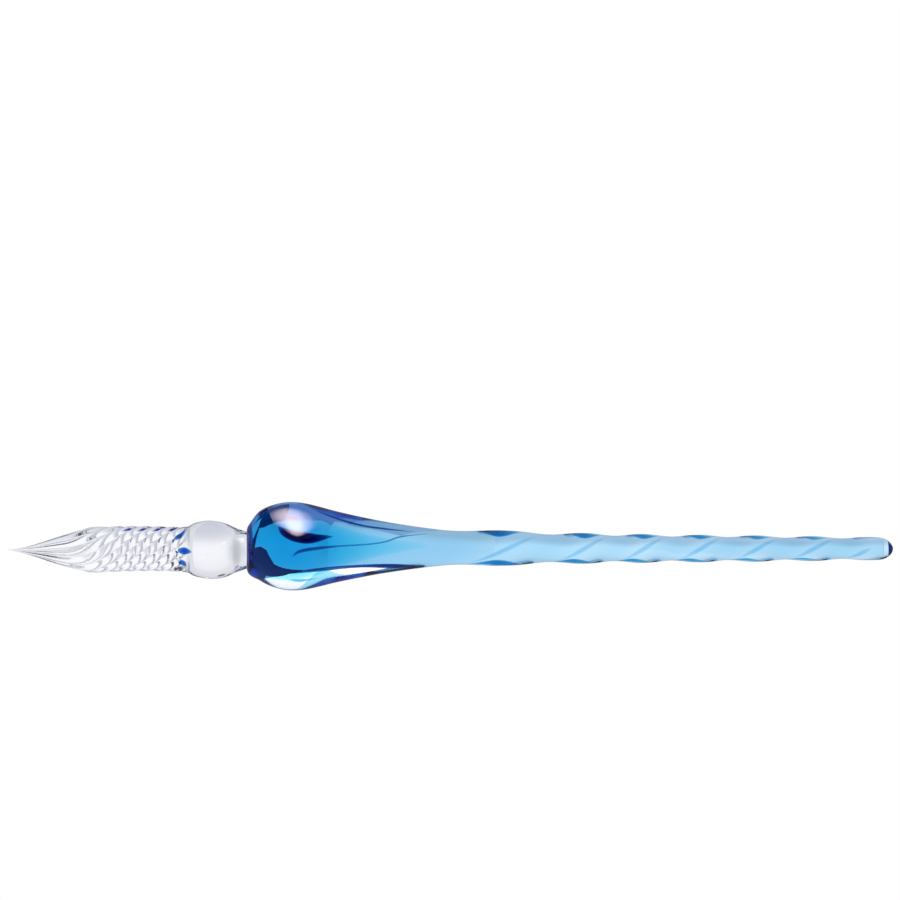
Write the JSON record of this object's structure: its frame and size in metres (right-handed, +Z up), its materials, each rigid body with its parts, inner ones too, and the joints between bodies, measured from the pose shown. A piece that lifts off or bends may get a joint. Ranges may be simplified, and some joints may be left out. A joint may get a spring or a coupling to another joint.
{
  "type": "glass dip pen",
  "caption": "Flame-worked glass dip pen with a spiral fluted nib, a clear knop, a solid blue grip bulb and a twisted stem, lying at rest.",
  "frame": {"origin": "bottom centre of the box round the pen, on the surface that it lies on", "axes": "+X from the nib to the butt, +Z up; the pen lies on its bulb and its butt, so its own axis leans about 3.3 degrees, nib up"},
  "size_m": [0.1748, 0.0174, 0.0175],
  "materials": {
    "clear_glass": "clear, fire-polished, with a few seed bubbles",
    "blue_glass": "transparent azure, fire-polished, paler where the glass is thin"
  },
  "bodies": {
    "root": {"nib": "clear_glass", "knop": "clear_glass", "grip_bulb": "blue_glass", "twisted_stem": "blue_glass"}
  },
  "joints": []
}
